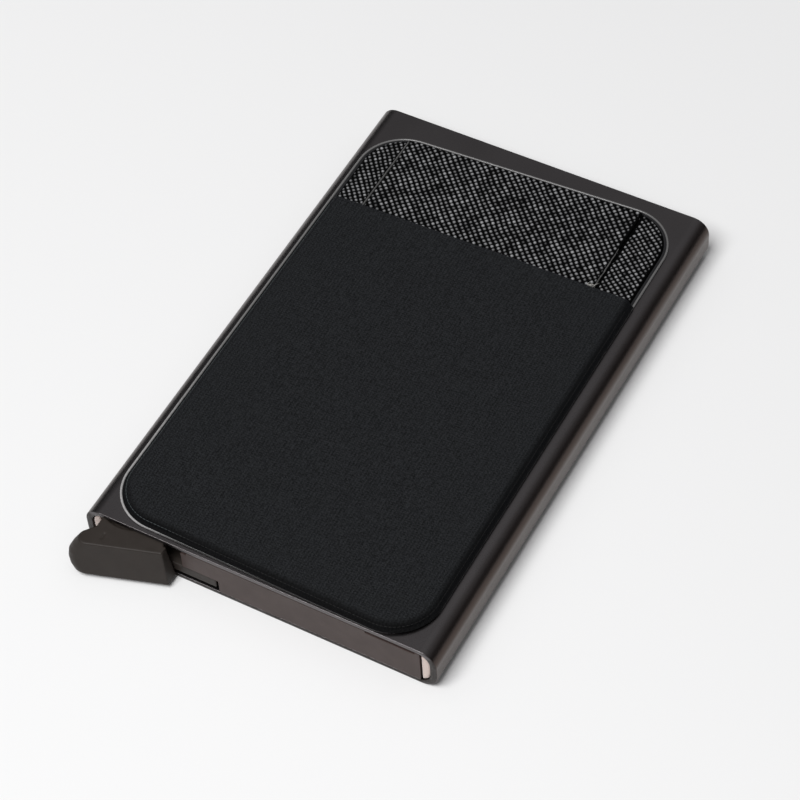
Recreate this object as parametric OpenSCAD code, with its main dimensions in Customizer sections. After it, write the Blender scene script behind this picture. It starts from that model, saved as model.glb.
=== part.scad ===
// Slim card wallet: a flattened aluminium tube that holds bank cards, with a thumb lever at one end
// that lifts the cards out of the mouth in steps, and a stretch-fabric pouch on the front.
// The wallet lies on its back face. The origin is the centre of that face, +X is to the right,
// +Y points to the open mouth, and +Z points to the front, where the pouch is.

/* [Case] */
// Width of the tube over its rounded sides
case_w = 63; // [62:0.5:66]
// Length of the tube from the lever end to the mouth
case_l = 98; // [97:0.5:104]
// Height of the tube from the back face to the front face
case_h = 8.5; // [8.3:0.1:9.5]
// Thickness of the front and back panels
panel_t = 0.75; // [0.6:0.05:0.9]
// Thickness of the rounded sides
side_t = 1.2; // [1:0.1:1.4]
// Outer radius of the four long corners
corner_r = 2.95; // [2:0.05:3.2]

/* [Cards] */
// Width of one bank card
card_w = 54; // [53:0.5:55]
// Length of one bank card
card_l = 85.6; // [85:0.1:86]
// Number of cards, and of steps on the lever
card_count = 5; // [3:1:5]

/* [Base] */
// Width of the plastic base
base_w = 57.2; // [56:0.2:57.2]
// Thickness of the base's outer wall
base_wall = 1.6; // [1.2:0.1:2]
// Thickness of the two plates that guard the lever
plate_t = 0.6; // [0.5:0.05:0.7]
// Height of the long notches in the top of the outer wall
notch_h = 0.45; // [0.3:0.05:0.6]

/* [Lever] */
// Distance of the pivot from the lever end of the case
pivot_in = 6.2; // [6:0.1:6.5]
// Distance of the pivot from the case's centre line
pivot_off = 25; // [24.8:0.1:25.2]
// Radius of the pivot pin
pin_r = 1; // [0.8:0.05:1.2]
// Radial clearance between the pin and the lever
pin_play = 0.05; // [0.02:0.01:0.08]
// Radius of the longest step's tip, measured from the pivot
arm_reach = 45; // [40:0.5:46]
// How much shorter each step is than the one behind it
step_back = 6.5; // [5:0.25:7]
// Angle of the thumb face to the end of the case
thumb_angle = 17.5; // [14:0.5:18]
// How far the foot of the thumb face stands out past its ridge
thumb_flare = 1.35; // [0.4:0.05:1.5]
// How far the pad's left end leans in from its middle to its top face
crown = 1.75; // [0.5:0.05:2]

/* [Grip strips] */
// Gap between the card's edge and each strip
card_play = 0.25; // [0.1:0.05:0.4]

/* [Pouch] */
// Width of the glossy film that carries the pouch
film_w = 57.2; // [54:0.2:58]
// Length of the film along its right side
film_l = 95.1; // [90:0.1:96]
// Corner radius of the film
film_r = 8.4; // [6:0.2:10]
// Distance of the film's lower right corner from the lever end of the case
film_in = 0.2; // [0.1:0.1:2]
// How much lower the film's top edge is at its left corner
top_slant = 2.2; // [0:0.1:3]
// How much higher the film's foot is at its left corner
foot_slant = 0.6; // [0:0.1:1]
// Sideways shift of the film on the front panel
film_shift = -0.4; // [-1:0.1:1]
// Distance of the middle of the pouch's open hem from the lever end of the case
hem_in = 74.6; // [60:0.2:84]
// Angle of the hem to the end of the case
hem_angle = 1; // [0:0.5:2]
// Left edge of the raised leather panel
panel_left = -22.9; // [-24:0.1:-20]
// Right edge of the raised leather panel
panel_right = 20.7; // [18:0.1:24]

/* [Hidden] */
$fn = 64;
// Overhang of a cutting shape past the face that it cuts
eps = 1;
// Overlap that joins two solids, or two cuts, that would only touch
joined = 0.01;
// Fit gap between pieces that are fixed to each other
seat = 0.05;

// Case
y_end = -case_l / 2;
y_mouth = case_l / 2;
bore_h = case_h - 2 * panel_t;
bore_w = case_w - 2 * side_t;
bore_r = corner_r - panel_t;

// Base: two plates with the lever between them
base_low = panel_t + 2 * seat;
base_top = case_h - panel_t - 2 * seat;
floor_top = base_low + plate_t;
cover_low = base_top - plate_t;
card_end_play = 0.4;
base_in = case_l - card_l - card_end_play;
shoulder_w = 0.8;
notch_right = [19.2, base_w / 2 - shoulder_w];
wall_left = -14.3;
notch_left = [wall_left, -12.7];
slot_right = -7.3;
slot_top = 3.6;
post_x = [-4.5, 10, 25];
post_in = 3.4;
post_r = 1.2;
stake_r = 0.6;
ear_in = 0.8;

// Lever
pivot = [-pivot_off, y_end + pivot_in];
lever_play = 0.1;
lever_low = floor_top + lever_play;
lever_top = cover_low - lever_play;
hub_r = 3.2;
ear_r = 6.2;
step_t = (lever_top - lever_low) / card_count;
arm_angle = 4.3;
arm_root_w = 5.2;
arm_tip_r = 1.5;
pad_play = 0.17;
pad_low = panel_t + pad_play;
pad_top = case_h - panel_t - pad_play;
pad_top_r = 1.4;
pad_foot_r = 2.7;
pad_left = -case_w / 2;
pad_right = -16.2;
pad_lean = 1.1;
// Back corners of the pad, just outside the case. In these lists, y is measured from the lever end.
pad_back = [-28.3, -1.8];
pad_back_out = 0.3;
// Outline of the pad's root, which reaches into the case
root_outline = [[-28.2, -2.2], [-16.3, -1.5], [-17.5, 2.2], [-28.2, 2.2]];
// Front and right side of the neck between the pad and the hub
neck_outline = [[-28.2, -1], [-17, 0.5], [-18.5, 7]];
// The low web that closes the slot in the base's wall, almost flush with it, when the lever is at rest
web_left = -20;
web_in = 0.08;
web_gap = [0.5, 1.4];
web_play = 0.15;
// A point on the ridge between the pad's top face and its thumb face
ridge = [-27, y_end - 5.1];
pad_levels = 6;
slab = 0.05;
// Small moulding mark in the pad's top face: its middle, its width, length and depth
mark = [-26.2, y_end - 2.9];
mark_size = [0.35, 1.3, 0.5];
swing_gap = 0.25;
// Radii that the pad needs clear around the pivot, at the plates and at the upper part of the wall
plate_swing_r = 13.5;
wall_swing_r = 12.8;
swing_in = 7.3;

// Grip strips
strip_in = 0.15;
strip_play = 0.15;
strip_thin = base_w / 2 + strip_play;
strip_thick = card_w / 2 + card_play;
strip_out = bore_w / 2 - seat;

// Layers of the pouch, from the front panel outwards
adhesive_t = 0.08;
film_t = 0.12;
backing_t = 0.5;
panel_layer_t = 0.3;
pocket_gap = 0.35;
lycra_t = 0.5;
z_film = case_h + adhesive_t;
z_backing = z_film + film_t;
z_panel = z_backing + backing_t;
backing_inset = 0.55;
pouch_inset = 0.65;
skirt_w = 1.4;
hem_w = 2.6;
hem_extra = 0.12;
panel_inset = backing_inset + 0.2;
panel_foot_play = 0.1;
panel_foot = y_end + film_in + foot_slant + pouch_inset + skirt_w + panel_foot_play;
pouch_t = panel_layer_t + pocket_gap + lycra_t;

module rounded_rect(w, l, r) {
    square([w - 2 * r, l], center = true);
    square([w, l - 2 * r], center = true);
    for (sx = [-1, 1], sy = [-1, 1])
        translate([sx * (w / 2 - r), sy * (l / 2 - r)])
            circle(r);
}

// Extrudes a section drawn in X and Z along Y, from the distance a to the distance b past the lever end
module along_case(a, b) {
    translate([0, y_end + b, 0])
        rotate([90, 0, 0])
            linear_extrude(b - a)
                children();
}

module box(x, y, z) {
    translate([x[0], y[0], z[0]])
        cube([x[1] - x[0], y[1] - y[0], z[1] - z[0]]);
}

module case_section(w, h, r) {
    translate([0, case_h / 2])
        rounded_rect(w, h, r);
}

module housing() {
    color([0.25, 0.24, 0.24])
        along_case(0, case_l)
            difference() {
                case_section(case_w, case_h, corner_r);
                case_section(bore_w, bore_h, bore_r);
            }
}

// Outline of both plates: cut away where the lever's pad swings, with an ear that carries the pin
module plate_outline() {
    difference() {
        translate([-base_w / 2, y_end + base_wall])
            square([base_w, base_in - base_wall]);
        intersection() {
            translate(pivot)
                circle(plate_swing_r);
            translate([-case_w, y_end])
                square([case_w, swing_in]);
        }
    }
    intersection() {
        translate(pivot)
            circle(ear_r);
        translate([-base_w / 2, y_end + ear_in])
            square([base_w, base_in - ear_in]);
    }
}

module base_wall_solid() {
    difference() {
        box([wall_left, base_w / 2], [y_end, y_end + base_wall], [base_low, base_top]);
        box([wall_left - eps, slot_right], [y_end - eps, y_end + 2 * base_wall], [0, slot_top]);
        translate([pivot[0], pivot[1], 0])
            cylinder(h = case_h, r = wall_swing_r);
        for (notch = [notch_left, notch_right])
            box([notch[0] - joined, notch[1]], [y_end - eps, y_end + 2 * base_wall], [base_top - notch_h, case_h]);
    }
}

module post(x) {
    translate([x, y_end + post_in, floor_top]) {
        cylinder(h = cover_low - floor_top, r = post_r);
        cylinder(h = base_top - floor_top, r = stake_r);
    }
}

module base_insert() {
    color([0.31, 0.28, 0.27]) {
        difference() {
            translate([0, 0, base_low])
                linear_extrude(plate_t)
                    plate_outline();
            translate([pivot[0], pivot[1], 0])
                cylinder(h = case_h, r = pin_r + seat / 2);
        }
        base_wall_solid();
        box([base_w / 2 - base_wall, base_w / 2], [y_end, y_end + base_in], [base_low, cover_low]);
        for (x = post_x)
            post(x);
    }
}

module base_cover() {
    color([0.29, 0.26, 0.25])
        difference() {
            translate([0, seat, cover_low])
                linear_extrude(plate_t)
                    plate_outline();
            translate([pivot[0], pivot[1], 0])
                cylinder(h = case_h, r = pin_r + seat / 2);
            for (x = post_x)
                translate([x, y_end + post_in, 0])
                    cylinder(h = case_h, r = stake_r + seat / 2);
        }
}

module pivot_pin() {
    color([0.72, 0.72, 0.74])
        translate([pivot[0], pivot[1], base_low])
            cylinder(h = base_top - base_low, r = pin_r);
}

// One step of the lever, drawn from the pivot, with its rounded tip at the given reach
module arm_outline(reach) {
    translate(pivot)
        rotate(arm_angle) {
            polygon([
                [0, -arm_root_w / 2], [reach, -arm_tip_r],
                [reach, arm_tip_r], [0, arm_root_w / 2]
            ]);
            translate([reach, 0])
                circle(arm_tip_r);
        }
}

// Y of the thumb face at x, when the face stands out past the ridge
function face_y(x, stand_out) =
    ridge[1] + (x - ridge[0]) * tan(thumb_angle) - stand_out / cos(thumb_angle);

// Outline of the part of the pad that stands outside the case, with its round end at left_x
module pad_outline(left_x, end_r, stand_out, right_x) {
    touch_x = left_x + end_r * (1 + sin(thumb_angle));
    translate([left_x + end_r, face_y(touch_x, stand_out) + end_r * cos(thumb_angle)])
        circle(end_r, $fn = 32);
    polygon([
        [touch_x, face_y(touch_x, stand_out)], [right_x, face_y(right_x, stand_out)],
        [right_x, y_end - pad_back_out], [pad_back[0], y_end + pad_back[1]]
    ]);
}

// The pad is widest at half its height. Above that its left end leans in, and its thumb face and right
// end lean in all the way from the foot to the ridge.
module pad_head() {
    hull()
        for (i = [0 : pad_levels - 1]) {
            down = 1 - i / (pad_levels - 1);
            up_half = max(0, 1 - 2 * down);
            translate([0, 0, pad_low + (1 - down) * (pad_top - slab - pad_low)])
                linear_extrude(slab)
                    pad_outline(
                        pad_left + crown * pow(up_half, 1.5),
                        pad_top_r + (pad_foot_r - pad_top_r) * pow(down, 4),
                        thumb_flare * down,
                        pad_right + pad_lean * down
                    );
        }
}

module pad_mark() {
    translate([mark[0] - mark_size[0] / 2, mark[1] - mark_size[1] / 2, pad_top - mark_size[2]])
        cube([mark_size[0], mark_size[1], mark_size[2] + eps]);
}

// The part of the pad that reaches into the case and swings around the ear
module pad_root() {
    difference() {
        translate([0, y_end, pad_low])
            linear_extrude(pad_top - pad_low)
                polygon(root_outline);
        translate([pivot[0], pivot[1], 0])
            cylinder(h = case_h, r = ear_r + swing_gap);
    }
}

// Neck between the hub and the pad, and the low web that closes the slot in the base's wall at rest
module lever_neck() {
    translate([0, y_end, lever_low]) {
        linear_extrude(lever_top - lever_low)
            polygon(concat(neck_outline, [[pivot[0], pivot_in + hub_r], [neck_outline[0][0], pivot_in]]));
        linear_extrude(slot_top - web_play - lever_low)
            polygon([
                [web_left, web_in], [slot_right - web_gap[0], web_in],
                [slot_right - web_gap[1], pivot_in], [web_left, pivot_in]
            ]);
    }
}

module lever() {
    color([0.23, 0.22, 0.21])
        difference() {
            union() {
                translate([pivot[0], pivot[1], lever_low])
                    cylinder(h = lever_top - lever_low, r = hub_r);
                for (i = [0 : card_count - 1])
                    translate([0, 0, lever_low + i * step_t])
                        linear_extrude(step_t)
                            arm_outline(arm_reach - i * step_back);
                lever_neck();
                pad_root();
                pad_head();
            }
            translate([pivot[0], pivot[1], 0])
                cylinder(h = case_h, r = pin_r + pin_play);
            pad_mark();
        }
}

// A strip fills the rounded side of the bore. It is thin beside the base and thick beside the cards.
module grip_strip(side) {
    difference() {
        along_case(strip_in, case_l - strip_in)
            intersection() {
                case_section(bore_w - 2 * seat, bore_h - 2 * seat, bore_r - seat);
                translate([side > 0 ? strip_thick : -strip_out - eps, 0])
                    square([strip_out + eps - strip_thick, case_h]);
            }
        translate([side > 0 ? 0 : -strip_thin, y_end, 0])
            cube([strip_thin, base_in + 2 * strip_play, case_h]);
    }
}

module grip_strip_left() {
    color([0.8, 0.74, 0.72])
        grip_strip(-1);
}

module grip_strip_right() {
    color([0.8, 0.74, 0.72])
        grip_strip(1);
}

// A sheet with the film's outline, smaller by inset on every side. Its foot and top are not quite square
// to its sides.
module pocket_sheet(inset, z, t) {
    side_x = film_w / 2 - film_r;
    foot_y = y_end + film_in + film_r;
    top_y = y_end + film_in + film_l - film_r;
    translate([film_shift, 0, z])
        linear_extrude(t)
            hull()
                for (corner = [
                    [side_x, foot_y], [side_x, top_y],
                    [-side_x, top_y - top_slant], [-side_x, foot_y + foot_slant]
                ])
                    translate(corner)
                        circle(film_r - inset);
}

// The half plane below a line across the pouch, at the distance y from the lever end on the centre line
module below_hem(y) {
    translate([0, y_end + y, 0])
        rotate(hem_angle)
            box([-case_w, case_w], [-case_l, 0], [0, 2 * case_h]);
}

module adhesive_sheet() {
    color([0.85, 0.85, 0.83])
        pocket_sheet(backing_inset, case_h, adhesive_t);
}

module carrier_film() {
    color([0.2, 0.2, 0.21])
        pocket_sheet(0, z_film, film_t);
}

module leather_backing() {
    color([0.08, 0.08, 0.08])
        pocket_sheet(backing_inset, z_backing, backing_t);
}

module leather_panel() {
    color([0.1, 0.1, 0.1])
        intersection() {
            pocket_sheet(panel_inset, z_panel, panel_layer_t);
            box([panel_left, panel_right], [panel_foot, y_mouth], [z_panel - eps, z_panel + eps]);
        }
}

// A stretched sheet whose sides and foot come down to the leather, open along the hem
module pouch() {
    color([0.11, 0.12, 0.14])
        difference() {
            union() {
                intersection() {
                    pocket_sheet(pouch_inset, z_panel, pouch_t);
                    below_hem(hem_in);
                }
                intersection() {
                    pocket_sheet(pouch_inset + skirt_w, z_panel, pouch_t + hem_extra);
                    difference() {
                        below_hem(hem_in);
                        below_hem(hem_in - hem_w);
                    }
                }
            }
            intersection() {
                pocket_sheet(pouch_inset + skirt_w, z_panel - eps, eps + panel_layer_t + pocket_gap);
                below_hem(hem_in + eps);
            }
        }
}

housing();
base_insert();
base_cover();
lever();
pivot_pin();
grip_strip_left();
grip_strip_right();
adhesive_sheet();
carrier_film();
leather_backing();
leather_panel();
pouch();
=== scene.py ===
"""The looks of a slim aluminium card wallet with a stretch-fabric pouch on its front.

Everything is in metres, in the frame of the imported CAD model. The wallet lies on its back face at z = 0,
+Y points to the open mouth, and the lever end is at the lowest y.
"""
import math

import bmesh
import bpy
import numpy as np
from mathutils import Matrix, Vector, noise


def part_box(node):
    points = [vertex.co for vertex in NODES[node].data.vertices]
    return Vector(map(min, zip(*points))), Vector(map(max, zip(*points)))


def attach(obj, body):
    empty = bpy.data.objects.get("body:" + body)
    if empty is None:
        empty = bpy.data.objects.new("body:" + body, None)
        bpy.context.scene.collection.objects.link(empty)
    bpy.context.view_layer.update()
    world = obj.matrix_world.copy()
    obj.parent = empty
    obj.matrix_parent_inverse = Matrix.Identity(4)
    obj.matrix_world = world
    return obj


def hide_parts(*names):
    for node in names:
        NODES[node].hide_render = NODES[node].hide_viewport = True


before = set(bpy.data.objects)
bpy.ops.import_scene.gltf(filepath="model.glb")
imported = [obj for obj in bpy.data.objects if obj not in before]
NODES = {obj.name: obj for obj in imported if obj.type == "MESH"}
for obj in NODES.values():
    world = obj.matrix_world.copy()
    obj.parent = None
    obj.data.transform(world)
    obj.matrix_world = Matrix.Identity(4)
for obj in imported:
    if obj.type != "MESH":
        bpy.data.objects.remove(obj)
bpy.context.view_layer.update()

MM = 0.001
CASE_LOW, CASE_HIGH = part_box("housing")
FILM_LOW, FILM_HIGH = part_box("carrier_film")
BACKING_LOW, BACKING_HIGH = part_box("leather_backing")
PANEL_LOW, PANEL_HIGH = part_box("leather_panel")
POUCH_LOW, POUCH_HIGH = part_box("pouch")

# The film's outline, as part.scad draws it: four corner arcs, and a top and a foot that slant a little
CORNER_R = 8.4 * MM
TOP_SLANT = 2.2 * MM
FOOT_SLANT = 0.6 * MM
BACKING_INSET = FILM_HIGH.x - BACKING_HIGH.x
CORNERS = np.array([
    [FILM_HIGH.x - CORNER_R, FILM_LOW.y + CORNER_R],
    [FILM_HIGH.x - CORNER_R, FILM_HIGH.y - CORNER_R],
    [FILM_LOW.x + CORNER_R, FILM_HIGH.y - CORNER_R - TOP_SLANT],
    [FILM_LOW.x + CORNER_R, FILM_LOW.y + CORNER_R + FOOT_SLANT],
])
# The pouch's open hem: its y on the centre line, and its slope
HEM_Y = CASE_LOW.y + 74.6 * MM
HEM_SLOPE = math.tan(math.radians(1))

# The film's rim: its width and height, and how deep it is sunk in the film's face
RIM_W = 0.4 * MM
RIM_H = 0.2 * MM
RIM_SUNK = 0.02 * MM

# Leather: the grain's two pitches on the panel and on the side strips, and the spacing of its points
GRAIN_PITCH = (0.88 * MM, 0.8 * MM)
SIDE_PITCH = (0.83 * MM, 0.77 * MM)
GRAIN_STEP = 0.125 * MM
SIDE_STEP = 0.14 * MM
# The grain is modelled from a little under the hem
SHOWN_FROM = HEM_Y - 2 * MM
# How far the leather's cut edge has drawn back from the film's rim, and how wide its rolled edge is
CHANNEL = 0.3 * MM
LEATHER_INSET = BACKING_INSET + CHANNEL
EDGE_ROLL = 0.4 * MM
# How far the grain's valleys lie under the leather's CAD height, and how high its pillows stand over them
VALLEY_DROP = 0.06 * MM
GRAIN_HEIGHT = 0.19 * MM
SIDE_HEIGHT = 0.17 * MM
# Lengths of the panel's two raised cut edges, from just under the hem
LEFT_CUT = 17.9 * MM
RIGHT_CUT = 15.0 * MM

# Pouch: its full and its thinnest thickness
POUCH_THICK = 0.5 * MM
POUCH_THIN = 0.08 * MM
# The pouch is sewn a little off the film's middle and askew, and covers the rim at the right and the foot
POUCH_OFF = np.array([0.28, -0.22]) * MM
POUCH_SKEW = -0.0055
POUCH_EDGE = 0.27 * MM
# The seam's distance from the pouch's own edge, and its stitches' length, gap and radius
SEAM_IN = 0.62 * MM
STITCH = 0.62 * MM
STITCH_GAP = 0.06 * MM
THREAD_R = 0.06 * MM


# ---------------------------------------------------------------- mesh helpers

def new_piece(name, points, faces, smooth=True):
    mesh = bpy.data.meshes.new(name)
    mesh.from_pydata([tuple(p) for p in points], [], faces)
    mesh.update()
    mesh.polygons.foreach_set("use_smooth", [smooth] * len(mesh.polygons))
    piece = bpy.data.objects.new(name, mesh)
    bpy.context.scene.collection.objects.link(piece)
    return piece


def face_outwards(piece):
    """Turns every face's normal out of the closed mesh."""
    made = bmesh.new()
    made.from_mesh(piece.data)
    bmesh.ops.recalc_face_normals(made, faces=made.faces)
    made.to_mesh(piece.data)
    made.free()
    return piece


def grid_faces(rows, columns, first=0, closed=False):
    """Quads over a grid of points stored row by row. A closed grid joins its last column to its first."""
    faces = []
    for i in range(rows - 1):
        for j in range(columns if closed else columns - 1):
            k = (j + 1) % columns
            low, high = first + i * columns, first + (i + 1) * columns
            faces.append((low + j, low + k, high + k, high + j))
    return faces


def tube_ring(here, z, across, radius, sides):
    """Points round a level tube: here is its middle in the plane, and across points to its side."""
    ring = []
    for k in range(sides):
        turn = 2 * math.pi * k / sides
        side = across * math.cos(turn) * radius
        ring.append((here[0] + side[0], here[1] + side[1], z + math.sin(turn) * radius))
    return ring


def tube_faces(rings, sides, first):
    """The wall and the two ends of a tube whose rings are stored one after another."""
    faces = grid_faces(rings, sides, first, closed=True)
    faces.append(tuple(first + k for k in range(sides)))
    faces.append(tuple(first + (rings - 1) * sides + k for k in range(sides - 1, -1, -1)))
    return faces


def border(rows, columns):
    """Indices round the edge of a grid, in order."""
    foot = list(range(columns))
    right = [i * columns + columns - 1 for i in range(1, rows)]
    top = [(rows - 1) * columns + j for j in range(columns - 2, -1, -1)]
    left = [i * columns for i in range(rows - 2, 0, -1)]
    return foot + right + top + left


def slab(name, top, under_z):
    """A closed sheet: a grid of points as its upper side, an upright edge, and a flat underside."""
    rows, columns = top.shape[:2]
    points = top.reshape(-1, 3)
    edge = border(rows, columns)
    under = points[edge].copy()
    under[:, 2] = under_z
    n, count = len(points), len(edge)
    faces = grid_faces(rows, columns)
    for i in range(count):
        k = (i + 1) % count
        faces.append((edge[k], edge[i], n + i, n + k))
    faces.append(tuple(range(n + count - 1, n - 1, -1)))
    return face_outwards(new_piece(name, np.vstack([points, under]), faces))


def store(piece, name, values):
    """Keeps a number per vertex, which the piece's material reads by name."""
    piece.data.attributes.new(name, "FLOAT", "POINT").data.foreach_set("value", np.ravel(values))


def noise_at(points, scale, seed):
    """Smooth noise from -1 to 1 at points in the plane."""
    flat = points.reshape(-1, 2)
    values = [noise.noise(Vector((x / scale, y / scale, seed))) for x, y in flat]
    return np.array(values).reshape(points.shape[:-1])


def smooth_step(x, low, high):
    t = np.clip((x - low) / (high - low), 0, 1)
    return t * t * (3 - 2 * t)


# ---------------------------------------------------------------- the film's outline

def film_ring(step):
    """Arc centres and outward normals round the film's outline.

    A ring with an inset is centre + (CORNER_R - inset) * normal.
    """
    centres, normals = [], []
    for i in range(4):
        before, here, after = CORNERS[i - 1], CORNERS[i], CORNERS[(i + 1) % 4]
        turn = []
        for a, b in ((before, here), (here, after)):
            along = (b - a) / np.linalg.norm(b - a)
            turn.append(math.atan2(-along[0], along[1]))
        turn[1] += 2 * math.pi if turn[1] < turn[0] else 0
        steps = max(4, round((turn[1] - turn[0]) * CORNER_R / step))
        for t in np.linspace(turn[0], turn[1], steps):
            centres.append(here)
            normals.append((math.cos(t), math.sin(t)))
        count = max(2, round(np.linalg.norm(after - here) / step))
        for t in np.linspace(0, 1, count + 1)[1:-1]:
            centres.append(here + (after - here) * t)
            normals.append((math.cos(turn[1]), math.sin(turn[1])))
    return np.array(centres), np.array(normals)


def inset_at(x, y):
    """How far inside the film's outline a point is."""
    near = np.full(np.shape(x), 1e9)
    inside = np.ones(np.shape(x), bool)
    for a, b in zip(CORNERS, np.roll(CORNERS, -1, axis=0)):
        side = b - a
        t = np.clip(((x - a[0]) * side[0] + (y - a[1]) * side[1]) / (side @ side), 0, 1)
        near = np.minimum(near, np.hypot(x - a[0] - t * side[0], y - a[1] - t * side[1]))
        inside &= side[0] * (y - a[1]) - side[1] * (x - a[0]) > 0
    return CORNER_R + np.where(inside, near, -near)


def edge_line(left, right, inset, sign):
    """The straight top or foot of the outline with an inset, as its y at x = 0 and its slope."""
    slope = (right[1] - left[1]) / (right[0] - left[0])
    out = sign * (CORNER_R - inset) * math.hypot(1, slope)
    return left[1] - slope * left[0] + out, slope


def foot_line(inset):
    return edge_line(CORNERS[3], CORNERS[0], inset, -1)


def top_line(inset):
    return edge_line(CORNERS[2], CORNERS[1], inset, 1)


def row_ends(row_y, row_slope, inset, sign, depth=inset_at):
    """x where each row meets the outline with an inset, on the side that sign gives. Found by halving."""
    halvings, slack, well_outside = 44, 1e-8, 1.2
    near = np.zeros(len(row_y))
    far = np.full(len(row_y), sign * FILM_HIGH.x * well_outside)
    for _ in range(halvings):
        middle = (near + far) / 2
        inside = depth(middle, row_y + row_slope * middle) > inset - slack
        near = np.where(inside, middle, near)
        far = np.where(inside, far, middle)
    return near


def rows_between(low, high, shares, inset, columns, left=-1.0, right=1.0, depth=inset_at):
    """A grid of x and y inside the outline.

    Its rows run from the line low to the line high, columns share out each row, and left and right bound it.
    """
    row_y = low[0] + (high[0] - low[0]) * shares
    row_slope = low[1] + (high[1] - low[1]) * shares
    x_left = np.maximum(row_ends(row_y, row_slope, inset, -1, depth), left)
    x_right = np.minimum(row_ends(row_y, row_slope, inset, 1, depth), right)
    x = x_left[:, None] + (x_right - x_left)[:, None] * columns[None]
    y = row_y[:, None] + row_slope[:, None] * x
    return np.stack([x, y], -1)


def with_z(grid, z):
    return np.concatenate([grid, np.broadcast_to(z, grid.shape[:-1])[..., None]], -1)


# ---------------------------------------------------------------- node materials

def fill_ramp(ramp, stops):
    while len(ramp.elements) < len(stops):
        ramp.elements.new(0.5)
    for element, (position, colour) in zip(ramp.elements, stops):
        element.position = position
        element.color = (*colour, 1) if hasattr(colour, "__len__") else (colour, colour, colour, 1)


class Recipe:
    """A Principled material whose nodes are added with short calls.

    Coordinates are the object's own, in millimetres.
    """

    def __init__(self, name, **sockets):
        self.material = bpy.data.materials.new(name)
        self.material.use_nodes = True
        self.tree = self.material.node_tree
        self.shader = self.tree.nodes["Principled BSDF"]
        for socket, value in sockets.items():
            self.shader.inputs[socket.replace("_", " ")].default_value = value
        place = self.tree.nodes.new("ShaderNodeTexCoord")
        scale = self.tree.nodes.new("ShaderNodeVectorMath")
        scale.operation = "SCALE"
        scale.inputs["Scale"].default_value = 1 / MM
        self.tree.links.new(place.outputs["Object"], scale.inputs[0])
        self.place = scale.outputs[0]
        self.bumps = None

    def put(self, socket, value):
        if isinstance(value, bpy.types.NodeSocket):
            self.tree.links.new(value, socket)
        else:
            socket.default_value = value

    def math(self, operation, a, b=0.0, c=0.0, clamp=False):
        made = self.tree.nodes.new("ShaderNodeMath")
        made.operation = operation
        made.use_clamp = clamp
        for socket, value in zip(made.inputs, (a, b, c)):
            self.put(socket, value)
        return made.outputs[0]

    def scaled(self, size, stretch):
        """Coordinates that grow by 1 over size millimetres, or over more where stretch is over 1."""
        squeeze = self.tree.nodes.new("ShaderNodeVectorMath")
        squeeze.operation = "DIVIDE"
        self.put(squeeze.inputs[0], self.place)
        squeeze.inputs[1].default_value = [size * s for s in stretch]
        return squeeze.outputs[0]

    def noise(self, size, detail=3.0, stretch=(1, 1, 1), roughness=0.5):
        """Noise from 0 to 1, with features about size millimetres wide, longer where stretch is over 1."""
        made = self.tree.nodes.new("ShaderNodeTexNoise")
        made.inputs["Scale"].default_value = 1
        made.inputs["Detail"].default_value = detail
        made.inputs["Roughness"].default_value = roughness
        self.put(made.inputs["Vector"], self.scaled(size, stretch))
        return made.outputs["Fac"]

    def cells(self, size):
        """Distance from the middles of round cells about size millimetres wide."""
        made = self.tree.nodes.new("ShaderNodeTexVoronoi")
        made.inputs["Scale"].default_value = 1
        self.put(made.inputs["Vector"], self.scaled(size, (1, 1, 1)))
        return made.outputs["Distance"]

    def stored(self, name):
        """A number that the piece's mesh keeps per vertex."""
        made = self.tree.nodes.new("ShaderNodeAttribute")
        made.attribute_name = name
        return made.outputs["Fac"]

    def axes(self):
        made = self.tree.nodes.new("ShaderNodeSeparateXYZ")
        self.put(made.inputs[0], self.place)
        return made.outputs

    def facing(self):
        """The surface's own direction, in the object's axes."""
        place = self.tree.nodes.new("ShaderNodeTexCoord")
        made = self.tree.nodes.new("ShaderNodeSeparateXYZ")
        self.put(made.inputs[0], place.outputs["Normal"])
        return made.outputs

    def ramp(self, value, *stops):
        """A colour ramp with stops of (position, colour), or of (position, grey)."""
        made = self.tree.nodes.new("ShaderNodeValToRGB")
        fill_ramp(made.color_ramp, stops)
        self.put(made.inputs[0], value)
        return made.outputs[0]

    def mix(self, share, a, b):
        made = self.tree.nodes.new("ShaderNodeMix")
        made.data_type = "RGBA"
        self.put(made.inputs[0], share)
        for socket, value in zip((made.inputs[6], made.inputs[7]), (a, b)):
            self.put(socket, value if isinstance(value, bpy.types.NodeSocket) else (*value, 1))
        return made.outputs[2]

    def bump(self, height, depth):
        """Adds a bump whose height runs over depth millimetres."""
        made = self.tree.nodes.new("ShaderNodeBump")
        made.inputs["Distance"].default_value = depth * MM
        self.put(made.inputs["Height"], height)
        if self.bumps:
            self.put(made.inputs["Normal"], self.bumps)
        self.bumps = made.outputs[0]

    def finish(self, colour, roughness):
        self.put(self.shader.inputs["Base Color"], colour)
        self.put(self.shader.inputs["Roughness"], roughness)
        if self.bumps:
            self.put(self.shader.inputs["Normal"], self.bumps)
        return self.material


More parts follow.
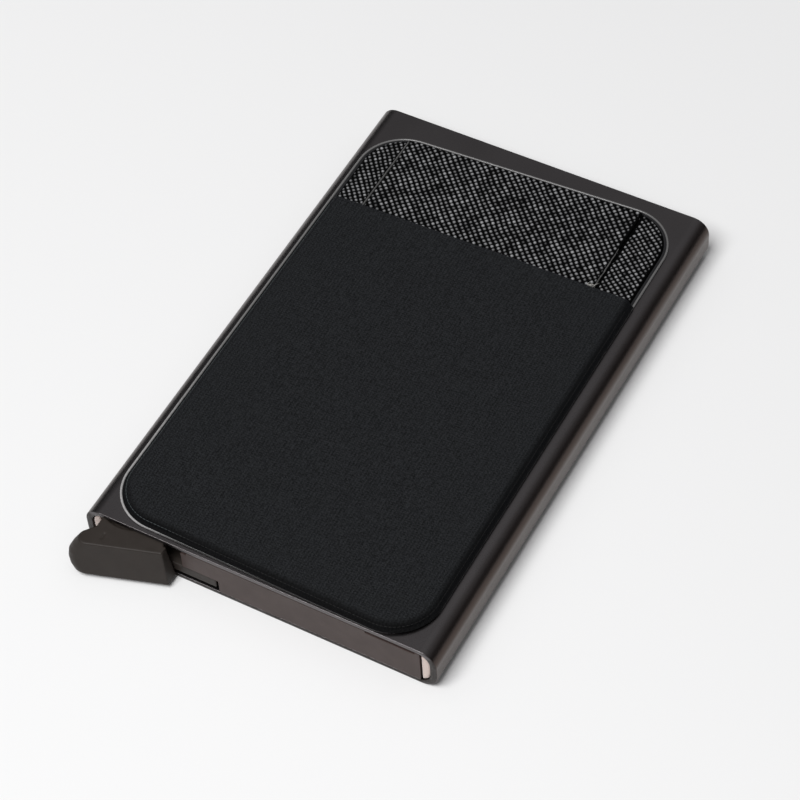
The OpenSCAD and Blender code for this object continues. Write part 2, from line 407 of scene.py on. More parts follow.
def anodised():
    """Bead-blasted, dark anodised aluminium, neutral on the flats, with a darker, browner copy round the
    sides as a painted reflection.

    The sawn ends are dark, with a patchy painted highlight that makes them pale along the front wall.
    """
    made = Recipe("anodised_aluminium", Metallic=1.0, IOR=1.5)
    blast = made.noise(0.09, 2)
    haze = made.noise(11, 3)
    flat = made.ramp(haze, (0.3, (0.122, 0.113, 0.115)), (0.7, (0.136, 0.126, 0.128)))
    # Painted reflection: the sides get a darker, browner copy of the flat colour.
    side = made.ramp(haze, (0.3, (0.062, 0.046, 0.04)), (0.7, (0.069, 0.052, 0.045)))
    sideways = made.math("ABSOLUTE", made.facing()[0])
    body = made.mix(made.ramp(sideways, (0.3, 0.0), (0.9, 1.0)), flat, side)
    _, y, z = made.axes()
    past_end = made.math("SUBTRACT", made.math("ABSOLUTE", y), CASE_HIGH.y / MM)
    end = made.ramp(made.math("MULTIPLY_ADD", made.noise(0.5, 3), 0.12, past_end), (0.0, 0.0), (0.06, 1.0))
    height = made.math("MULTIPLY_ADD", z, MM / CASE_HIGH.z, -0.1)
    # Painted highlight: the sawn end is pale high up, along the front wall's end, in patches, and dark lower
    # down.
    painted_highlight_ramp = made.ramp(made.math("MULTIPLY_ADD", made.noise(1.5, 3), 0.2, height),
                       (0.84, (0.03, 0.026, 0.024)), (0.91, (0.122, 0.113, 0.116)))
    colour = made.mix(end, body, painted_highlight_ramp)
    made.bump(blast, 0.012)
    made.bump(made.noise(0.35, 2, (1, 12, 1)), 0.004)
    return made.finish(colour, made.ramp(blast, (0.2, 0.25), (0.8, 0.33)))


def moulded(name, dark, light, rough):
    """Spark-eroded moulded plastic with a slight sheen on its high spots."""
    made = Recipe(name, IOR=1.46, Specular_IOR_Level=0.3)
    texture, grit = made.noise(0.14, 3), 0.02
    made.bump(texture, grit)
    made.bump(made.noise(1.8, 2), grit)
    colour = made.ramp(made.noise(2.5, 4), (0.3, dark), (0.7, light))
    return made.finish(colour, made.ramp(texture, (0.25, rough - 0.06), (0.75, rough + 0.06)))


def ground_steel():
    made = Recipe("ground_steel", Metallic=1.0)
    turned = made.noise(0.06, 3, (1, 1, 0.2))
    made.bump(turned, 0.003)
    return made.finish(made.ramp(turned, (0.2, (0.5, 0.5, 0.51)), (0.8, (0.62, 0.62, 0.63))),
                       made.ramp(turned, (0.2, 0.22), (0.8, 0.36)))


def felt():
    """Short matted pile, pale and warm."""
    made = Recipe("felt_pile", Sheen_Weight=0.5, Sheen_Roughness=0.6, Specular_IOR_Level=0.1)
    fibres = made.noise(0.16, 5, (1, 2.2, 1), 0.7)
    made.bump(fibres, 0.12)
    colour = made.ramp(fibres, (0.25, (0.5, 0.37, 0.32)), (0.5, (0.68, 0.53, 0.47)), (0.8, (0.8, 0.67, 0.61)))
    return made.finish(colour, made.ramp(fibres, (0, 0.85), (1, 1.0)))


def milky_adhesive():
    made = Recipe("adhesive_layer", IOR=1.47)
    bubbles = made.cells(0.9)
    made.bump(bubbles, 0.02)
    return made.finish(made.ramp(bubbles, (0.1, (0.5, 0.5, 0.48)), (0.6, (0.64, 0.64, 0.61))),
                       made.ramp(bubbles, (0, 0.35), (1, 0.55)))


def black_film():
    """Glossy black film with faint handling scuffs."""
    made = Recipe("black_film", IOR=1.5)
    scuffs = made.noise(0.5, 4, (1, 5, 1), 0.65)
    made.bump(made.noise(3, 2), 0.02)
    return made.finish(made.ramp(scuffs, (0.3, (0.004, 0.004, 0.005)), (0.8, (0.01, 0.01, 0.011))),
                       made.ramp(scuffs, (0.35, 0.22), (0.8, 0.4)))


def film_edge():
    """The film's heat-rounded rim.

    It is painted black as shade where the pouch covers its edge, and grey where it is bare, with a painted
    highlight that makes it palest at the lever's corner.
    """
    made = Recipe("film_rim", IOR=1.5, Coat_Weight=0.4, Coat_Roughness=0.2)
    drift = made.noise(2.4, 3)
    made.bump(made.noise(0.5, 3), 0.02)
    x, y, _ = made.axes()
    # Painted highlight: the bare rim grows paler towards the lever's corner, broken up by noise.
    from_corner = made.math("MULTIPLY_ADD", made.math("ADD", x, y), 1 / 150, 0.5, clamp=True)
    scuffs = made.noise(0.4, 3)
    painted_corner_highlight = made.ramp(made.math("MULTIPLY_ADD", scuffs, 0.4, made.math("SUBTRACT", from_corner, 0.12)),
                         (0.0, (0.44, 0.43, 0.43)), (0.3, (0.17, 0.166, 0.165)), (1.0, (0.12, 0.118, 0.117)))
    # Painted shade: black where the stored share is 0, under the pouch's edge.
    colour = made.mix(made.stored("bare_else_painted_shade"), (0.006, 0.006, 0.006), painted_corner_highlight)
    return made.finish(colour, made.ramp(drift, (0.3, 0.28), (0.7, 0.4)))


def leather(name, gloss):
    """Black coated leather, whose emboss is in the mesh.

    The pillow tops are painted grey as a highlight, under a coat of weight gloss, and the valleys are painted
    near black as shade.
    """
    made = Recipe(name, IOR=1.5, Specular_IOR_Level=0.04, Coat_Roughness=0.2, Coat_IOR=1.6)
    relief = made.stored("relief")
    highlight_patches = made.noise(1.6, 4)
    made.bump(made.noise(0.07, 3), 0.006)
    # Painted highlight on the high relief and painted shade where relief is low (valleys, rolled edges, cut
    # gaps), in patches of uneven strength.
    shade = made.math("MULTIPLY", relief, made.math("MULTIPLY_ADD", highlight_patches, 0.6, 0.72))
    colour = made.ramp(shade, (0.22, (0.0008, 0.0008, 0.0009)), (0.4, (0.014, 0.014, 0.0145)),
                       (0.66, (0.165, 0.166, 0.17)), (0.95, (0.34, 0.342, 0.35)))
    made.put(made.shader.inputs["Coat Weight"], made.ramp(shade, (0.3, 0.0), (0.55, gloss)))
    return made.finish(colour, made.ramp(relief, (0.2, 0.7), (0.7, 0.35)))


def cut_edge():
    """Raw edge of the coated leather, where the grey carrier shows."""
    made = Recipe("leather_cut_edge", IOR=1.45)
    fibres = made.noise(0.12, 4, (1, 4, 1))
    made.bump(fibres, 0.03)
    return made.finish(made.ramp(fibres, (0.3, (0.045, 0.045, 0.045)), (0.75, (0.12, 0.118, 0.115))),
                       made.ramp(fibres, (0.3, 0.4), (0.7, 0.55)))


def stretch_knit():
    """Fine warp knit: rows of small V-shaped stitches, with a soft bluish sheen.

    It is open on the front, and painted dark as shade along its rolled border.
    """
    wale, course = 0.55, 0.42
    made = Recipe("stretch_knit", Specular_IOR_Level=0.08, Sheen_Weight=0.02, Sheen_Roughness=0.45,
                  Sheen_Tint=(0.6, 0.75, 1.0, 1.0))
    x, y, _ = made.axes()
    waver = made.math("MULTIPLY", made.math("SUBTRACT", made.noise(2.2, 2), 0.5), 0.22)
    across = made.math("DIVIDE", made.math("ADD", x, waver), wale)
    lean = made.math("MULTIPLY", made.math("PINGPONG", across, 0.5), 0.9)
    up = made.math("ADD", made.math("DIVIDE", made.math("ADD", y, waver), course), lean)
    stitch = made.math("SINE", made.math("MULTIPLY", up, 2 * math.pi))
    wales = made.math("SINE", made.math("MULTIPLY", across, 2 * math.pi))
    knit = made.math("MULTIPLY_ADD", stitch, 0.16, made.math("MULTIPLY_ADD", wales, 0.14, 0.5))
    fuzz = made.noise(0.27, 5, (1, 1, 1), 0.8)
    made.bump(knit, 0.1)
    made.bump(fuzz, 0.12)
    tone = made.math("MULTIPLY_ADD", knit, 0.5, made.math("MULTIPLY_ADD", fuzz, 2.4, -0.95))
    open_knit = made.ramp(tone, (0.2, (0.003, 0.0032, 0.0034)), (0.85, (0.0265, 0.028, 0.0305)))
    # Painted shade: a darker copy of the knit for the rolled border.
    painted_shade_knit = made.ramp(tone, (0.2, (0.0006, 0.0006, 0.0007)), (0.85, (0.0045, 0.0046, 0.005)))
    colour = made.mix(made.stored("stretch"), open_knit, painted_shade_knit)
    return made.finish(colour, made.ramp(fuzz, (0.3, 0.62), (0.8, 0.8)))


def seam_thread():
    """Fine thread, painted grey as a highlight where it stands proud at the left, and painted black as shade
    elsewhere.
    """
    made = Recipe("seam_thread", Specular_IOR_Level=0.3)
    twist = made.noise(0.1, 3)
    made.bump(twist, 0.03)
    # Painted highlight: the lit grey copy of the thread; the black copy below is its painted shade.
    painted_highlight_ramp = made.ramp(twist, (0.3, (0.03, 0.037, 0.038)), (0.8, (0.075, 0.088, 0.09)))
    painted_shade_thread = made.ramp(twist, (0.3, (0.002, 0.0018, 0.0018)), (0.8, (0.008, 0.007, 0.007)))
    return made.finish(made.mix(made.stored("proud_and_painted_lit"), painted_shade_thread, painted_highlight_ramp),
                       made.ramp(twist, (0.3, 0.5), (0.8, 0.65)))


def pale_fibre():
    made = Recipe("pale_fibre", Specular_IOR_Level=0.4)
    length = made.noise(0.15, 3)
    made.bump(length, 0.01)
    return made.finish(made.ramp(length, (0.3, (0.3, 0.29, 0.28)), (0.8, (0.6, 0.58, 0.55))),
                       made.ramp(length, (0.3, 0.5), (0.8, 0.7)))


def pale_floor():
    made = Recipe("pale_floor", Specular_IOR_Level=0.2)
    drift = made.noise(400, 2)
    return made.finish(made.ramp(drift, (0.3, 0.86), (0.7, 0.88)), made.ramp(drift, (0.3, 0.75), (0.7, 0.85)))


def dress(piece, material):
    piece.data.materials.clear()
    piece.data.materials.append(material)
    return piece


# ---------------------------------------------------------------- CAD nodes that stay

def weld_corners(piece):
    """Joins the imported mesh's split corners."""
    weld = piece.modifiers.new("weld", "WELD")
    weld.merge_threshold = 0.002 * MM


def soften(piece, width):
    """Rounds the piece's sharp edges by width."""
    weld_corners(piece)
    bevel = piece.modifiers.new("edge_break", "BEVEL")
    bevel.width = width
    bevel.segments = 2
    bevel.limit_method = "ANGLE"
    bevel.angle_limit = math.radians(35)
    bevel.harden_normals = False
    by_face = piece.modifiers.new("even_shading", "WEIGHTED_NORMAL")
    by_face.keep_sharp = False


def remould(piece, voxel, rounds):
    """Rounds a faceted moulding into one soft-cornered skin."""
    weld_corners(piece)
    skin = piece.modifiers.new("skin", "REMESH")
    skin.mode = "VOXEL"
    skin.voxel_size = voxel
    skin.use_smooth_shade = True
    ease = piece.modifiers.new("ease", "SMOOTH")
    ease.factor = 0.5
    ease.iterations = rounds


def make_kept_nodes():
    soften(dress(NODES["housing"], anodised()), 0.12 * MM)
    plastic = moulded("base_plastic", (0.046, 0.03, 0.0265), (0.057, 0.039, 0.035), rough=0.45)
    soften(dress(NODES["base_insert"], plastic), 0.12 * MM)
    soften(dress(NODES["base_cover"], plastic), 0.08 * MM)
    lever_plastic = moulded("lever_plastic", (0.0225, 0.0175, 0.0145), (0.0285, 0.0228, 0.0193), rough=0.5)
    remould(dress(NODES["lever"], lever_plastic), voxel=0.15 * MM, rounds=3)
    soften(dress(NODES["pivot_pin"], ground_steel()), 0.1 * MM)
    soften(dress(NODES["adhesive_sheet"], milky_adhesive()), 0.02 * MM)


# ---------------------------------------------------------------- felt strips

def make_felt_strip(side):
    """The strip's solid, remeshed finely and roughened into matted pile."""
    node = NODES["grip_strip_" + side]
    piece = bpy.data.objects.new("felt_strip_" + side, node.data.copy())
    bpy.context.scene.collection.objects.link(piece)
    remould(piece, voxel=0.28 * MM, rounds=2)
    bpy.context.view_layer.update()
    shape = piece.evaluated_get(bpy.context.evaluated_depsgraph_get())
    piece.data = bpy.data.meshes.new_from_object(shape)
    piece.modifiers.clear()
    pile, tuft, sunk, drawn_out = 0.07 * MM, 0.45 * MM, 0.8, 0.6
    places = [v.co.copy() for v in piece.data.vertices]
    normals = [v.normal.copy() for v in piece.data.vertices]
    for vertex, place, normal in zip(piece.data.vertices, places, normals):
        spot = Vector((place.x, place.y * drawn_out, place.z)) / tuft
        vertex.co = place + normal * pile * (noise.fractal(spot, 0.8, 2.0, 3) - sunk)
    piece.data.polygons.foreach_set("use_smooth", [True] * len(piece.data.polygons))
    dress(piece, felt())
    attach(piece, "case")
    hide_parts(node.name)


# ---------------------------------------------------------------- film

def loft(name, centres, normals, section):
    """Sweeps a closed section of (inset, z) round the film's outline."""
    points = [with_z(centres + normals * (CORNER_R - inset), z) for inset, z in section]
    rows, columns = len(section), len(centres)
    faces = grid_faces(rows, columns, closed=True)
    last = (rows - 1) * columns
    for j in range(columns):
        k = (j + 1) % columns
        faces.append((last + j, last + k, k, j))
    return face_outwards(new_piece(name, np.vstack(points), faces))


def film_face(centres, normals):
    """The film's flat sheet, which ends under the rim."""
    ring = centres + normals * (CORNER_R - 0.6 * RIM_W)
    points = np.vstack([with_z(ring, FILM_LOW.z), with_z(ring, FILM_HIGH.z)])
    count = len(ring)
    faces = grid_faces(2, count, closed=True)
    faces.append(tuple(range(count - 1, -1, -1)))
    faces.append(tuple(range(count, 2 * count)))
    film = face_outwards(new_piece("film_face", points, faces, smooth=False))
    return dress(film, black_film())


def film_rim(centres, normals):
    """The raised rim. It is bare along its left side and past the hem, and carries a painted shade elsewhere.
    """
    section = []
    for t in np.linspace(0, math.pi, 9):
        section.append((RIM_W / 2 - RIM_W / 2 * math.cos(t), FILM_HIGH.z - RIM_SUNK + RIM_H * math.sin(t)))
    section.append((RIM_W, FILM_LOW.z))
    section.append((0, FILM_LOW.z))
    rim = dress(loft("film_rim", centres, normals, section), film_edge())
    outer = centres + normals * CORNER_R
    # 1 where the rim is bare and grey; 0 where its material paints it black as shade under the pouch's edge.
    bare_else_painted_shade = np.maximum(smooth_step(-outer[:, 0], 12 * MM, 25 * MM), outer[:, 1] > HEM_Y)
    store(rim, "bare_else_painted_shade", np.tile(bare_else_painted_shade, len(section)))
    return rim


def make_film():
    centres, normals = film_ring(0.5 * MM)
    for piece in (film_face(centres, normals), film_rim(centres, normals)):
        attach(piece, "case")
        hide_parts("carrier_film")


# ---------------------------------------------------------------- leather

def cross_grain(grid, pitch, turn, height, seed):
    """Embossed pillows in a diagonal lattice, which is turned by an angle.

    The two pitches differ and the heights are uneven. Returns the height, and the relief from 0 to about 1.
    """
    wander_size, wander_by, patch = 3.1 * MM, 0.16 * MM, 0.9 * MM
    wander = np.stack([noise_at(grid, wander_size, seed), noise_at(grid, wander_size, seed + 5)], -1)
    spot = grid + wander * wander_by
    c, s = math.cos(turn), math.sin(turn)
    a = (c * spot[..., 0] + s * spot[..., 1]) / pitch[0]
    b = (-s * spot[..., 0] + c * spot[..., 1]) / pitch[1]
    pillow = (np.cos(math.pi * a) ** 2) ** 0.6 * (np.cos(math.pi * b) ** 2) ** 0.35
    uneven = 0.78 + 0.42 * noise_at(grid, patch, seed + 9)
    return height * pillow * uneven, pillow * uneven


def shown_shares(low, high, hidden=6):
    """Shares for the rows of a grid: few where the pouch hides them, and close together past the hem."""
    start = (SHOWN_FROM - low[0]) / (high[0] - low[0])
    count = round((high[0] - SHOWN_FROM) / GRAIN_STEP)
    return np.concatenate([np.linspace(0, start, hidden + 1)[:-1], np.linspace(start, 1, count)])


def shown(y):
    """1 where the sheet lies past SHOWN_FROM, and 0 before it."""
    return smooth_step(y, SHOWN_FROM, SHOWN_FROM + 0.5 * MM)


def rolled(in_round, drop):
    """How far the sheet's rolled edge drops, at a distance from that edge."""
    return drop * (1 - smooth_step(in_round, 0, EDGE_ROLL))


def make_leather_panel():
    """The raised panel between its two cut edges, with the grain in its mesh."""
    low = (PANEL_LOW.y, 0.0)
    high = top_line(LEATHER_INSET)
    shares = shown_shares(low, high)
    columns = np.linspace(0, 1, round((PANEL_HIGH.x - PANEL_LOW.x) / GRAIN_STEP))
    grid = rows_between(low, high, shares, LEATHER_INSET, columns, PANEL_LOW.x, PANEL_HIGH.x)
    x, y = grid[..., 0], grid[..., 1]
    in_side = np.minimum(x - PANEL_LOW.x, PANEL_HIGH.x - x)
    in_round = inset_at(x, y) - LEATHER_INSET
    fade = smooth_step(in_side, 0.15 * MM, 0.5 * MM) * smooth_step(in_round, 0.05 * MM, 0.4 * MM) * shown(y)
    grain, relief = cross_grain(grid, GRAIN_PITCH, math.radians(45), GRAIN_HEIGHT, seed=3.7)
    z = PANEL_HIGH.z - VALLEY_DROP - rolled(in_round, 0.22 * MM) + fade * grain
    panel = slab("grain_panel", with_z(grid, z), PANEL_LOW.z)
    store(panel, "relief", np.resize(fade * relief, len(panel.data.vertices)))
    dress(panel, leather("grained_leather", gloss=0.9))
    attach(panel, "case")
    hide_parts("leather_panel")


def base_grid():
    """A grid over the full sheet: fine columns over the two side strips, and a few under the panel."""
    low, high = foot_line(LEATHER_INSET), top_line(LEATHER_INSET)
    shares = shown_shares(low, high, hidden=40)
    row_y = low[0] + (high[0] - low[0]) * shares
    row_slope = low[1] + (high[1] - low[1]) * shares
    x_left = row_ends(row_y, row_slope, LEATHER_INSET, -1)
    x_right = row_ends(row_y, row_slope, LEATHER_INSET, 1)
    under, least = 0.6 * MM, 0.5 * MM
    left_x, right_x = PANEL_LOW.x + under, PANEL_HIGH.x - under
    left_n = round((left_x - BACKING_LOW.x) / SIDE_STEP)
    right_n = round((BACKING_HIGH.x - right_x) / SIDE_STEP)
    turn_left = np.maximum(left_x, x_left + least)
    turn_right = np.minimum(right_x, x_right - least)
    # Only the last band keeps its end column, so that none is there twice
    bands = ((x_left, turn_left, left_n), (turn_left, turn_right, 8), (turn_right, x_right, right_n + 1))
    x = np.concatenate([
        a[:, None] + (b - a)[:, None] * np.linspace(0, 1, n, endpoint=b is x_right)[None] for a, b, n in bands
    ], 1)
    y = row_y[:, None] + row_slope[:, None] * x
    return np.stack([x, y], -1)


def cut_gap(grid):
    """The dark gaps beside the panel's cut edges, from 0 to 1: ragged at the right, straight at the left."""
    x, y = grid[..., 0], grid[..., 1]
    ragged = 0.2 * MM + 0.22 * MM * np.abs(noise_at(grid, 0.8 * MM, seed=31.4))
    stray = 0.24 * MM * noise_at(grid, 1.4 * MM, seed=36.2)
    right = np.exp(-((x - PANEL_HIGH.x - 0.2 * MM - stray) / ragged) ** 4)
    left = np.exp(-((x - PANEL_LOW.x + 0.15 * MM) / (0.16 * MM)) ** 4)
    return np.maximum(right * shown(y), left * shown(y))


def make_leather_base():
    """The full sheet under the panel. Only its two side strips and its edge show, so only they are fine."""
    grid = base_grid()
    x, y = grid[..., 0], grid[..., 1]
    in_round = inset_at(x, y) - LEATHER_INSET
    fade = smooth_step(in_round, 0.1 * MM, 0.45 * MM) * shown(y)
    left_grain = cross_grain(grid, SIDE_PITCH, math.radians(40), SIDE_HEIGHT, seed=8.1)
    right_grain = cross_grain(grid, SIDE_PITCH, math.radians(51), SIDE_HEIGHT, seed=12.9)
    grain, relief = (np.where(x < 0, a, b) for a, b in zip(left_grain, right_grain))
    gap = cut_gap(grid)
    z = BACKING_HIGH.z - VALLEY_DROP - rolled(in_round, 0.34 * MM) - 0.2 * MM * gap + fade * grain * (1 - gap)
    base = slab("leather_base", with_z(grid, z), BACKING_LOW.z)
    # Zero relief in the cut gaps gives them the darkest colour of the leather, its painted valley shade.
    store(base, "relief", np.resize(fade * relief * (1 - gap), len(base.data.vertices)))
    dress(base, leather("side_leather", gloss=0.75))
    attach(base, "case")
    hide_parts("leather_backing")


def make_cut_edge(name, x, length, width, height, broken, seed):
    """The raised raw edge of the panel, running up from under the hem.

    It strays and thins out where it is broken, from 0, whole, to 1.
    """
    step, sunk, thinnest = 0.15 * MM, 0.1 * MM, 0.08
    start = HEM_Y - 1 * MM
    along = np.arange(start, start + length, step)
    across = np.linspace(0, math.pi, 9)
    spots = np.stack([np.full(len(along), x), along], -1)
    sway = noise_at(spots, 1.3 * MM, seed) * broken * 0.12 * MM
    full = 1 - smooth_step(along, start + length * (1 - 0.6 * broken), start + length)
    full = full * (1 - 0.6 * broken * smooth_step(noise_at(spots, 0.7 * MM, seed + 3), 0.0, 0.3))
    full = np.maximum(full, thinnest)[:, None]
    points = np.empty((len(along), len(across), 3))
    points[..., 0] = x + sway[:, None] - width / 2 * np.cos(across) * np.sqrt(full)
    points[..., 1] = along[:, None]
    points[..., 2] = PANEL_HIGH.z - sunk + height * np.sin(across) * full
    edge = dress(slab(name, points, PANEL_LOW.z), cut_edge())
    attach(edge, "case")


def make_frayed_spot():
    """A few pale fibres that stick out where the hem crosses the panel's right edge."""
    draw = np.random.RandomState(4)
    fibres, rings, sides = 12, 7, 5
    radius, taper = 0.055 * MM, 0.7
    points, faces = [], []
    for _ in range(fibres):
        in_from_edge = draw.uniform(0.2, 1.3) * MM
        past_hem = draw.uniform(0.6, 1.3) * MM
        heading = draw.uniform(0.1, 1.5)
        length = draw.uniform(0.5, 1.3) * MM
        lift = draw.uniform(0.05, 0.3) * MM
        curl = draw.uniform(-1.2, 1.2)
        here = np.array([PANEL_HIGH.x - in_from_edge, HEM_Y + past_hem, PANEL_HIGH.z + 0.05 * MM])
        base = len(points)
        for i in range(rings):
            t = i / (rings - 1)
            turn = heading + curl * t
            across = np.array([-math.sin(turn), math.cos(turn)])
            z = here[2] + lift * math.sin(math.pi * t)
            points += tube_ring(here, z, across, radius * (1 - taper * t), sides)
            here = here + np.array([math.cos(turn), math.sin(turn), 0]) * length / (rings - 1)
        faces += tube_faces(rings, sides, base)
    fray = dress(face_outwards(new_piece("frayed_fibres", points, faces)), pale_fibre())
    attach(fray, "case")


# ---------------------------------------------------------------- pouch

def pouch_depth(x, y):
    """How far inside the pouch's edge a point is."""
    return inset_at(x - POUCH_OFF[0], y - POUCH_OFF[1] - POUCH_SKEW * x) - POUCH_EDGE


def pouch_height(grid):
    """z of the pouch's outer face: a pressed border, a seam groove, a rolled shoulder and a crowned front."""
    x, y = grid[..., 0], grid[..., 1]
    depth = pouch_depth(x, y)
    flat_top = POUCH_HIGH.z - 0.17 * MM
    border_z = BACKING_HIGH.z + 0.12 * MM
    edge_z = FILM_HIGH.z + 0.3 * MM
    groove_deep, groove_wide, roll_wide = 0.09 * MM, 0.12 * MM, 1.6 * MM
    crown_high, fold_high, sway_high = 0.07 * MM, 0.03 * MM, 0.03 * MM
    tuck = smooth_step(depth, 0, SEAM_IN)
    roll = np.clip((depth - 0.75 * SEAM_IN) / roll_wide, 0, 1)
    shoulder = np.sqrt(1 - (1 - roll) ** 2)
    groove = groove_deep * np.exp(-((depth - SEAM_IN) / groove_wide) ** 2)
    crown = crown_high * smooth_step(depth, 1.6 * MM, 16 * MM)
    from_hem = HEM_Y + HEM_SLOPE * x - y
    folded = fold_high * (1 - smooth_step(from_hem, 2.2 * MM, 3.0 * MM))
    soft = sway_high * noise_at(grid, 11 * MM, seed=21.3) * smooth_step(depth, 1.2 * MM, 5 * MM)
    pressed = edge_z + (border_z - edge_z) * tuck + (flat_top - border_z) * shoulder
    return pressed - groove + crown + folded + soft


def pouch_lining(grid, outer):
    """z of the pouch's inner face, which stays clear of the leather and thins out towards the border."""
    x, y = grid[..., 0], grid[..., 1]
    over_panel = smooth_step(np.minimum(x - PANEL_LOW.x, PANEL_HIGH.x - x), -0.6 * MM, 0)
    leather_top = BACKING_HIGH.z + 0.02 * MM
    floor = leather_top + (PANEL_HIGH.z + 0.12 * MM - leather_top) * over_panel
    thick = POUCH_THIN + (POUCH_THICK - POUCH_THIN) * smooth_step(pouch_depth(x, y), 0, 2 * MM)
    return np.maximum(outer - thick, np.minimum(floor, outer - POUCH_THIN))


def make_pouch():
    """One stretched sheet, open along the hem, closed into a thin skin with a rounded hem edge."""
    low = foot_line(POUCH_EDGE)
    low = (low[0] + POUCH_OFF[1] - low[1] * POUCH_OFF[0], low[1] + POUCH_SKEW)
    shares = 1 - np.cos(np.linspace(0, math.pi / 2, 190))
    across = 0.5 - 0.5 * np.cos(np.linspace(0, math.pi, 200))
    grid = rows_between(low, (HEM_Y, HEM_SLOPE), shares, 0, across, depth=pouch_depth)
    outer = pouch_height(grid)
    inner = pouch_lining(grid, outer)
    middle, half = (outer[-1] + inner[-1]) / 2, (outer[-1] - inner[-1]) / 2
    flatness = 0.8
    nose = []
    for t in np.linspace(0, math.pi, 7)[1:-1]:
        row = with_z(grid[-1], middle + half * math.cos(t))
        row[:, 1] += half * math.sin(t) * flatness
        nose.append(row)
    skin = np.concatenate([with_z(grid, outer), np.array(nose), with_z(grid, inner)[::-1]])
    pouch = face_outwards(new_piece("stretch_pouch", skin.reshape(-1, 3), folded_faces(*skin.shape[:2])))
    # Painted shade: the knit darkens along its rolled border, fading out from 0.6 to 1.9 mm inside its edge.
    border_shade = 1 - smooth_step(pouch_depth(skin[..., 0], skin[..., 1]), 0.6 * MM, 1.9 * MM)
    store(pouch, "stretch", border_shade)
    return dress(pouch, stretch_knit())


def folded_faces(rows, columns):
    """Faces of a grid that is folded back at its middle row, closed along its sides and its foot."""
    faces = grid_faces(rows, columns)
    last = rows - 1
    for i in range(rows // 2):
        a, b = i * columns, (i + 1) * columns
        c, d = (last - i - 1) * columns, (last - i) * columns
        side = columns - 1
        if i + 1 < last - i - 1:
            faces.append((a, b, c, d))
            faces.append((b + side, a + side, d + side, c + side))
        else:
            faces.append((a, b, d))
            faces.append((b + side, a + side, d + side))
    for j in range(columns - 1):
        faces.append((j + 1, j, last * columns + j, last * columns + j + 1))
    return faces


def seam_path():
    """Points along the seam, from one end of the hem round the foot to the other."""
    centres, normals = film_ring(0.1 * MM)
    path = centres + normals * (CORNER_R - POUCH_EDGE - SEAM_IN) + POUCH_OFF
    path[:, 1] += POUCH_SKEW * path[:, 0]
    keep = path[:, 1] < HEM_Y + HEM_SLOPE * path[:, 0] - 1.5 * MM
    start = int(np.argmax(keep & ~np.roll(keep, 1)))
    return np.roll(path, -start, axis=0)[:int(keep.sum())]


def make_seam():
    """Short raised stitches in the groove round the pouch's two sides and foot."""
    path = seam_path()
    reach = np.concatenate([[0], np.cumsum(np.linalg.norm(np.diff(path, axis=0), axis=1))])

    def along_path(distance):
        return np.array([np.interp(distance, reach, path[:, 0]), np.interp(distance, reach, path[:, 1])])

    points, faces, proud_and_painted_lit = [], [], []
    sides, rings = 6, 6
    bright_to = CORNERS[3][0] + 9 * MM
    for begin in np.arange(0, reach[-1] - STITCH, STITCH + STITCH_GAP):
        base = len(points)
        for i in range(rings):
            t = i / (rings - 1)
            at = begin + STITCH * t
            here, ahead = along_path(at), along_path(at + THREAD_R)
            along = (ahead - here) / max(np.linalg.norm(ahead - here), 1e-9)
            # Along the left side and round the lower-left corner the thread stands higher and takes the
            # painted highlight; elsewhere it takes the painted shade.
            show = 1 - smooth_step(here[0], CORNERS[3][0], bright_to)
            proud_and_painted_lit += [show] * sides
            z = pouch_height(here[None])[0] + THREAD_R * (0.5 * show - 0.3)
            radius = THREAD_R * math.sqrt(max(0.05, math.sin(math.pi * (0.04 + 0.92 * t))))
            points += tube_ring(here, z, np.array([-along[1], along[0]]), radius, sides)
        faces += tube_faces(rings, sides, base)
    seam = face_outwards(new_piece("pouch_seam", points, faces))
    store(seam, "proud_and_painted_lit", proud_and_painted_lit)
    dress(seam, seam_thread())
    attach(seam, "case")
    return seam


def make_soft_goods():
    make_leather_base()
    make_leather_panel()
    make_cut_edge("cut_edge_left", PANEL_LOW.x + 0.1 * MM, LEFT_CUT,
                  width=0.34 * MM, height=0.2 * MM, broken=0.0, seed=41.0)
    make_cut_edge("cut_edge_right", PANEL_HIGH.x - 0.1 * MM, RIGHT_CUT,
                  width=0.26 * MM, height=0.16 * MM, broken=1.0, seed=47.0)
    make_frayed_spot()
    pouch = make_pouch()
    seam = make_seam()
    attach(pouch, "case")
    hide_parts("pouch")


# ---------------------------------------------------------------- floor, light and camera

def make_floor():
    reach = 4.0
    points = [(-reach, -reach, 0), (reach, -reach, 0), (reach, reach, 0), (-reach, reach, 0)]
    floor = new_piece("floor", points, [(0, 1, 2, 3)], smooth=False)
    dress(floor, pale_floor())


def softbox(name, place, size, power):
    """A square area light that faces the origin."""
    lamp = bpy.data.lights.new(name, "AREA")
    lamp.shape = "RECTANGLE"
    lamp.size = size
    lamp.size_y = size
    lamp.energy = power
    holder = bpy.data.objects.new(name, lamp)
    bpy.context.scene.collection.objects.link(holder)
    holder.location = place
    holder.rotation_mode = "QUATERNION"
    holder.rotation_quaternion = (-Vector(place)).to_track_quat("-Z", "Y")


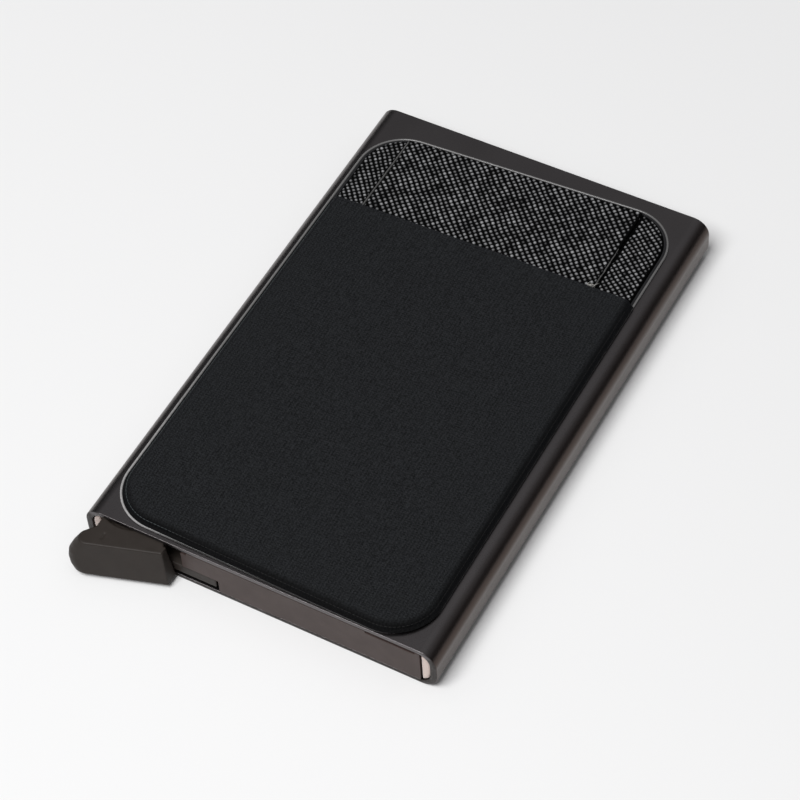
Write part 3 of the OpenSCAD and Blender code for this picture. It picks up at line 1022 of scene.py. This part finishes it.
def make_light():
    """A dome that brightens from a dark horizon to the zenith, and one wide softbox, high in front."""
    world = bpy.data.worlds.new("studio")
    world.use_nodes = True
    bpy.context.scene.world = world
    tree = world.node_tree
    place = tree.nodes.new("ShaderNodeTexCoord")
    split = tree.nodes.new("ShaderNodeSeparateXYZ")
    ramp = tree.nodes.new("ShaderNodeValToRGB")
    fill_ramp(ramp.color_ramp, ((0.3, 0.03), (0.75, (0.29, 0.29, 0.295)), (1.0, (0.48, 0.48, 0.485))))
    tree.links.new(place.outputs["Generated"], split.inputs[0])
    tree.links.new(split.outputs[2], ramp.inputs[0])
    tree.links.new(ramp.outputs[0], tree.nodes["Background"].inputs[0])
    tree.nodes["Background"].inputs[1].default_value = 1.0
    softbox("front_top", place=(-0.13, -0.585, 1.153), size=0.7, power=15.9)


def make_camera():
    """A long lens, whose place and aim were fitted to the straight edges of the case."""
    azimuth, elevation, roll = map(math.radians, (32.081, 51.555, -4.35))
    aim = Vector((0, 1, 4)) * MM
    left_of_aim, below_aim, distance = 1.936 * MM, 4.423 * MM, 455.256 * MM
    level = math.cos(elevation)
    back = Vector((math.sin(azimuth) * level, -math.cos(azimuth) * level, math.sin(elevation)))
    level_right = Vector((math.cos(azimuth), math.sin(azimuth), 0))
    level_up = back.cross(level_right)
    right = level_right * math.cos(roll) + level_up * math.sin(roll)
    up = level_up * math.cos(roll) - level_right * math.sin(roll)
    place = aim - right * left_of_aim - up * below_aim + back * distance
    camera = bpy.data.objects.new("camera", bpy.data.cameras.new("camera"))
    camera.data.sensor_width = 36
    camera.data.lens = 124.4
    camera.data.clip_start = 0.01
    camera.matrix_world = Matrix((
        (right.x, up.x, back.x, place.x),
        (right.y, up.y, back.y, place.y),
        (right.z, up.z, back.z, place.z),
        (0, 0, 0, 1),
    ))
    bpy.context.scene.collection.objects.link(camera)
    bpy.context.scene.camera = camera
    bpy.context.scene.view_settings.view_transform = "Standard"


make_camera()
make_light()
make_floor()
make_kept_nodes()
for strip_side in ("left", "right"):
    make_felt_strip(strip_side)
make_film()
make_soft_goods()
